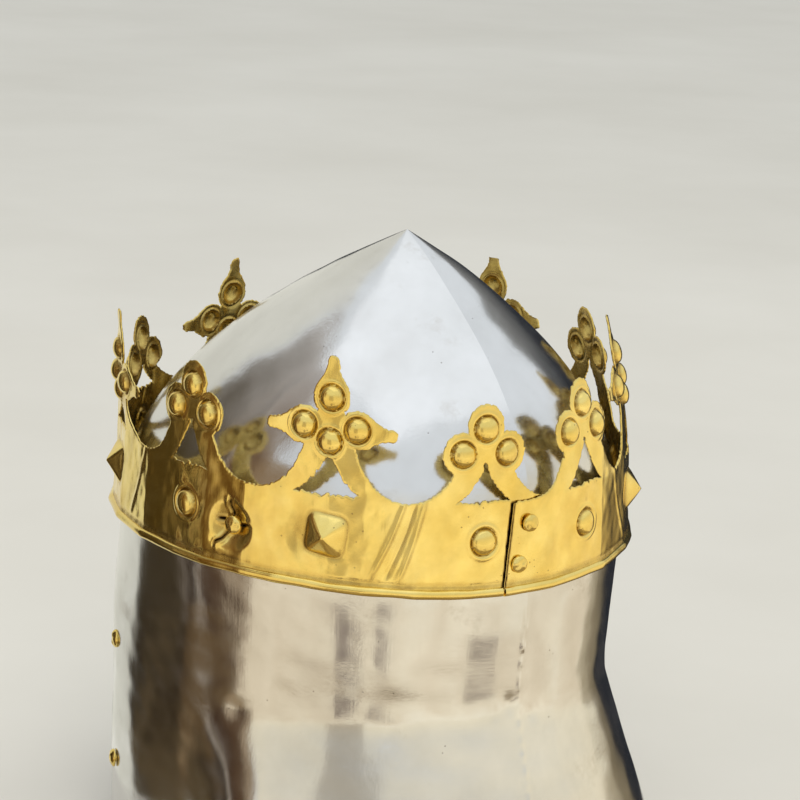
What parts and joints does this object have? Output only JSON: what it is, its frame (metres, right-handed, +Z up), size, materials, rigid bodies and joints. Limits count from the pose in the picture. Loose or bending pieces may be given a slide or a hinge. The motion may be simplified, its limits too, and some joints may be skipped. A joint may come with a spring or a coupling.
{
  "type": "crowned war helmet",
  "caption": "Open-faced pointed steel helmet with a flared neck guard, a pierced brass crown round the brow, a laced leather suspension liner and a buckled chin strap.",
  "frame": {"origin": "on the table plane, under the middle of the whole helmet's bounding box", "axes": "+Z up through the helmet, -Y out of the face opening, +X towards the wearer's left ear"},
  "size_m": [0.2246, 0.2724, 0.278],
  "materials": {
    "steel": "hand-polished sheet with faint scratches and small pits",
    "brass": "polished sheet brass, slightly tarnished in the hollows",
    "leather": "vegetable-tanned, waxed",
    "cord": "twisted linen cord"
  },
  "bodies": {
    "helmet": {"left_skull_half": "steel", "right_skull_half": "steel", "crown": "brass", "crown_seam_rivets": "brass", "crown_mount_rivets": "brass", "crown_mount_washers": "brass", "brow_rivets": "brass", "brow_washers": "brass", "left_cheek_rivets": "brass", "right_cheek_rivets": "brass", "left_cheek_washers": "brass", "right_cheek_washers": "brass", "left_strap_rivet": "brass", "right_strap_rivet": "brass", "left_strap_spacer": "brass", "right_strap_spacer": "brass", "left_strap_washer": "brass", "right_strap_washer": "brass", "left_cheek_lining": "leather", "right_cheek_lining": "leather", "liner_band": "leather", "liner_flap_1": "leather", "liner_flap_2": "leather", "liner_flap_3": "leather", "liner_flap_4": "leather", "liner_flap_5": "leather", "liner_flap_6": "leather", "liner_flap_7": "leather", "liner_flap_8": "leather", "liner_drawcord": "cord"},
    "chin_strap": {"buckle_strap": "leather", "long_strap": "leather", "buckle_frame": "brass", "buckle_tongue": "brass"},
    "keeper": {"strap_keeper": "leather"}
  },
  "joints": [
    {"name": "chin_strap_swing", "type": "hinge", "parent": "helmet", "child": "chin_strap", "pos_m": [0, -0.0115, 0.156], "axis": [1, 0, 0], "range_deg": [-68, 48]},
    {"name": "strap_keeper_slide", "type": "slide", "parent": "chin_strap", "child": "keeper", "axis": [0.4067, 0, 0.9135], "range_m": [0, 0.014]}
  ]
}
